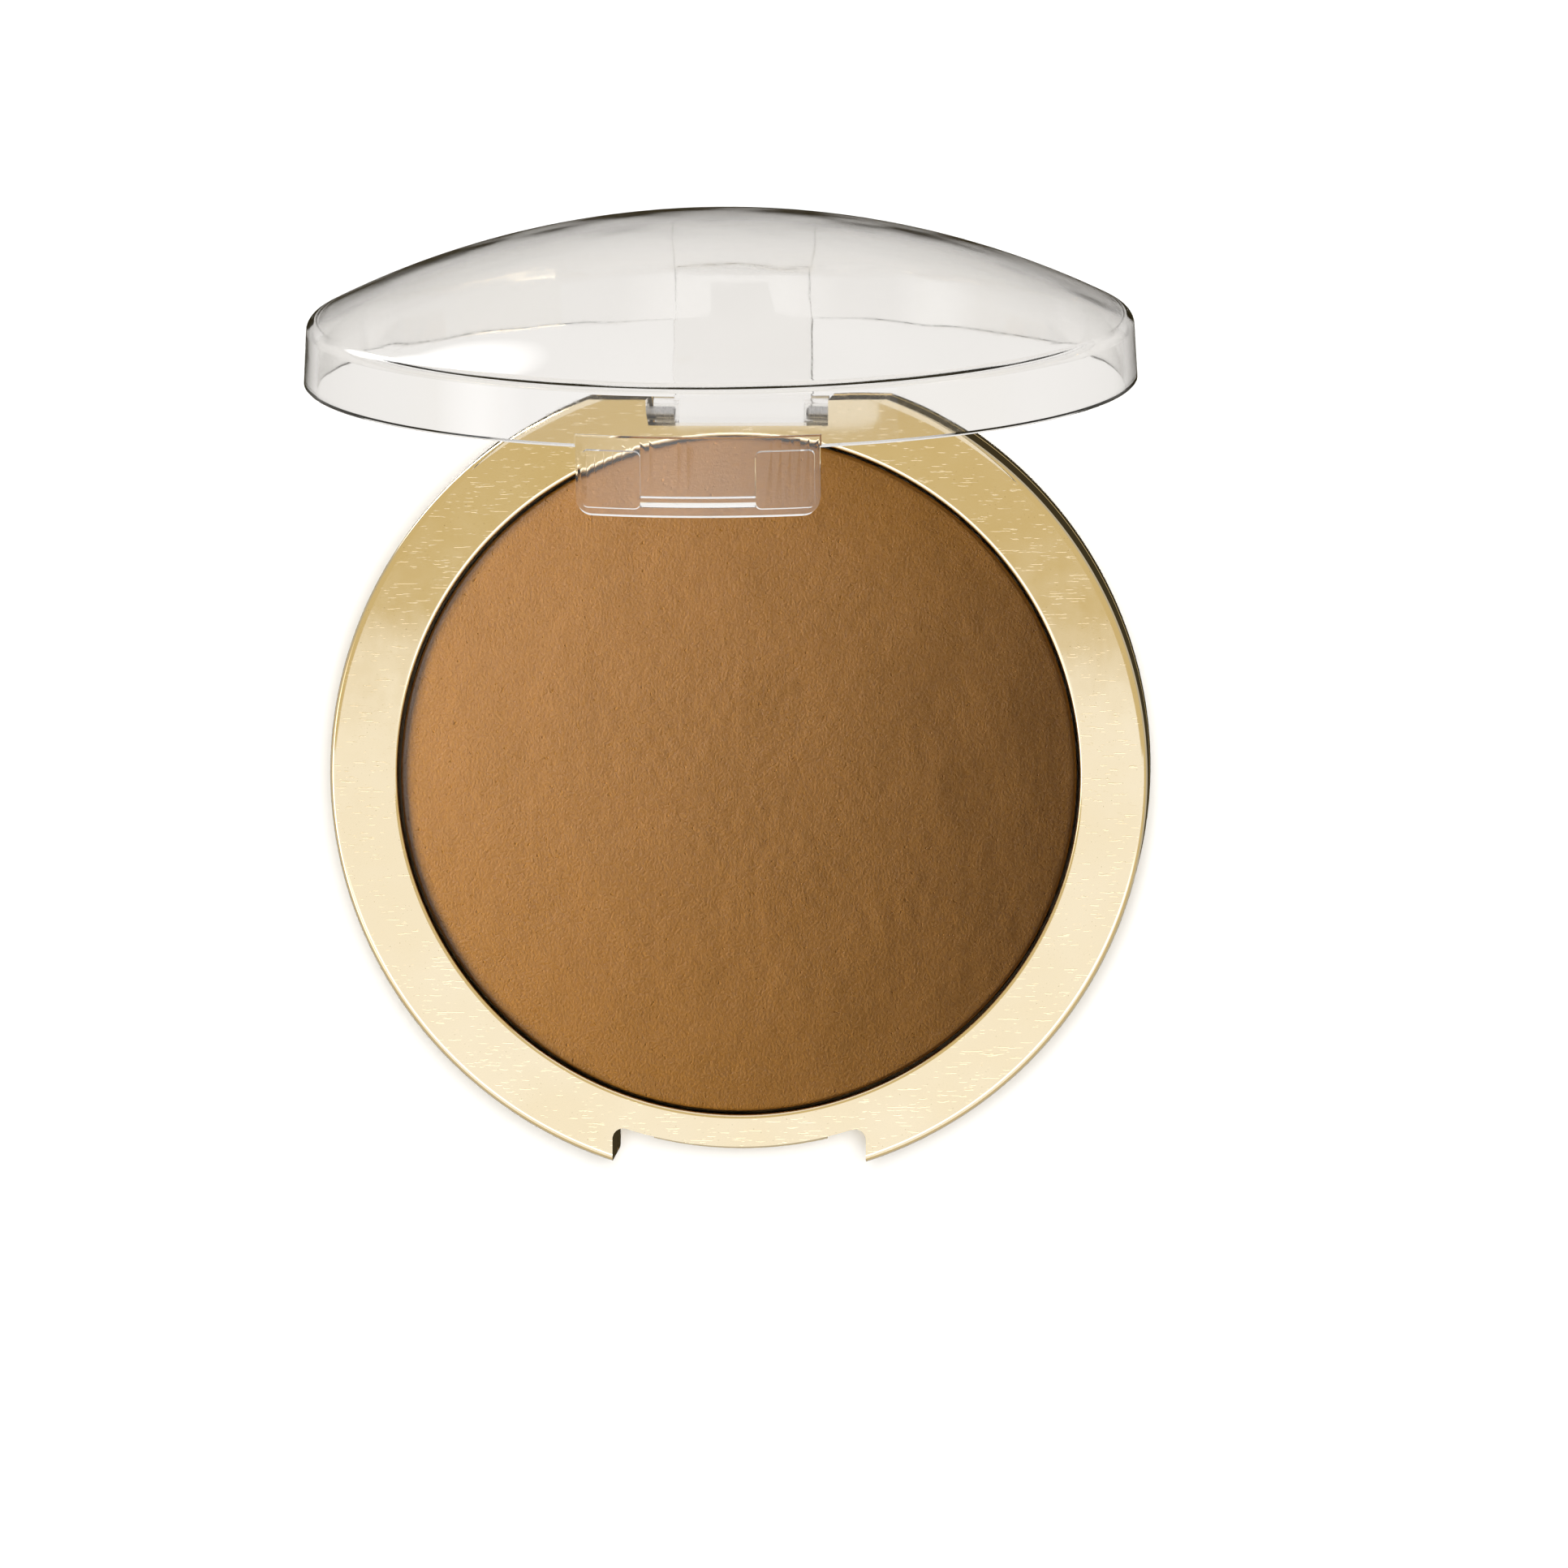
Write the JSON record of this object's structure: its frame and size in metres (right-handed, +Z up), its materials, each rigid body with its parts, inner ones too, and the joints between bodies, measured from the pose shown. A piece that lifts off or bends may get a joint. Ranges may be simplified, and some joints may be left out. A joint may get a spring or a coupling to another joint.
{
  "type": "powder compact",
  "caption": "Round pressed-powder compact with a mirror-gold base, a bronze powder cake and a clear domed lid that stands open on a rear hinge.",
  "frame": {"origin": "centre of the round base's flat underside", "axes": "+Z up, +Y from the base's centre towards the hinge, -Y towards the thumb notch, +X to the right with the hinge away from the viewer"},
  "size_m": [0.076, 0.0897, 0.0758],
  "materials": {
    "gold_frame": "metallised mirror gold on moulded plastic",
    "gold_cover": "metallised gold on moulded plastic",
    "tray_plastic": "plain satin moulding",
    "adhesive_foam": "thin foam tape",
    "pan_aluminium": "pressed sheet",
    "bronze_powder": "matte pressed powder",
    "clear_lid": "clear polished moulding",
    "pin_steel": "drawn wire"
  },
  "bodies": {
    "base": {"top_frame": "gold_frame", "bottom_cover": "gold_cover", "pan_tray": "tray_plastic", "pan_adhesive": "adhesive_foam", "powder_pan": "pan_aluminium", "pressed_powder": "bronze_powder", "hinge_pin_left": "pin_steel", "hinge_pin_right": "pin_steel"},
    "lid": {"lid": "clear_lid"}
  },
  "joints": [
    {"name": "lid_hinge", "type": "hinge", "parent": "base", "child": "lid", "pos_m": [0, 0.0335, 0.0038], "axis": [1, 0, 0], "range_deg": [0, 84]}
  ]
}
